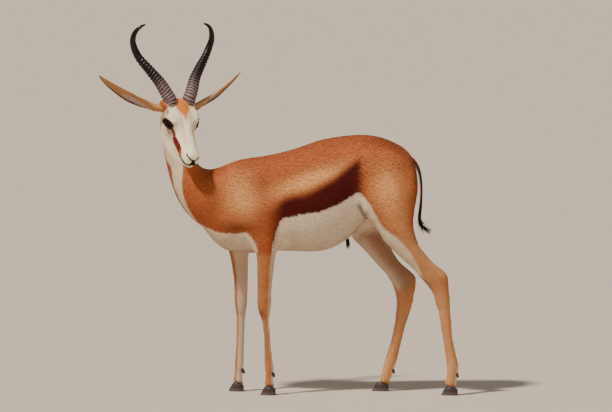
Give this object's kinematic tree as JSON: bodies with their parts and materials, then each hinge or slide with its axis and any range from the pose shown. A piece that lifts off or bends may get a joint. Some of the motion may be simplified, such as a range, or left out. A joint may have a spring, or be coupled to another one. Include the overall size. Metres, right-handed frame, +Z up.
{
  "type": "springbok",
  "caption": "Life-size standing springbok ram with its head turned to the side, ringed horns, raised ears, slim legs and a thin tufted tail.",
  "frame": {"origin": "on the floor under the middle of the bounding box", "axes": "+Z up, the body faces -X with its left side on -Y, the face looks towards -Y"},
  "size_m": [1.169, 0.2942, 1.2043],
  "materials": {
    "coat": "short cinnamon hair with a dark flank band and a white belly",
    "face_coat": "short cream hair with a brown forehead and a brown stripe from eye to mouth",
    "leg_coat": "short tan hair, white on the inner sides",
    "ear_skin": "tan outside, pale hair inside, dark rim",
    "dark_hair": "black-brown hair",
    "horn": "black ringed keratin with smooth tips",
    "hoof": "purple-black keratin",
    "eye": "wet, almost black brown"
  },
  "bodies": {
    "root": {"torso": "coat", "neck": "coat", "head": "face_coat", "sheath": "dark_hair", "tail": "dark_hair", "ear_left": "ear_skin", "ear_right": "ear_skin", "eye_left": "eye", "eye_right": "eye", "horn_left": "horn", "horn_right": "horn", "leg_front_left": "leg_coat", "leg_front_right": "leg_coat", "leg_hind_left": "leg_coat", "leg_hind_right": "leg_coat", "hoof_front_left_inner": "hoof", "dewclaw_front_left_inner": "hoof", "hoof_front_left_outer": "hoof", "dewclaw_front_left_outer": "hoof", "hoof_front_right_inner": "hoof", "dewclaw_front_right_inner": "hoof", "hoof_front_right_outer": "hoof", "dewclaw_front_right_outer": "hoof", "hoof_hind_left_inner": "hoof", "dewclaw_hind_left_inner": "hoof", "hoof_hind_left_outer": "hoof", "dewclaw_hind_left_outer": "hoof", "hoof_hind_right_inner": "hoof", "dewclaw_hind_right_inner": "hoof", "hoof_hind_right_outer": "hoof", "dewclaw_hind_right_outer": "hoof"}
  },
  "joints": []
}
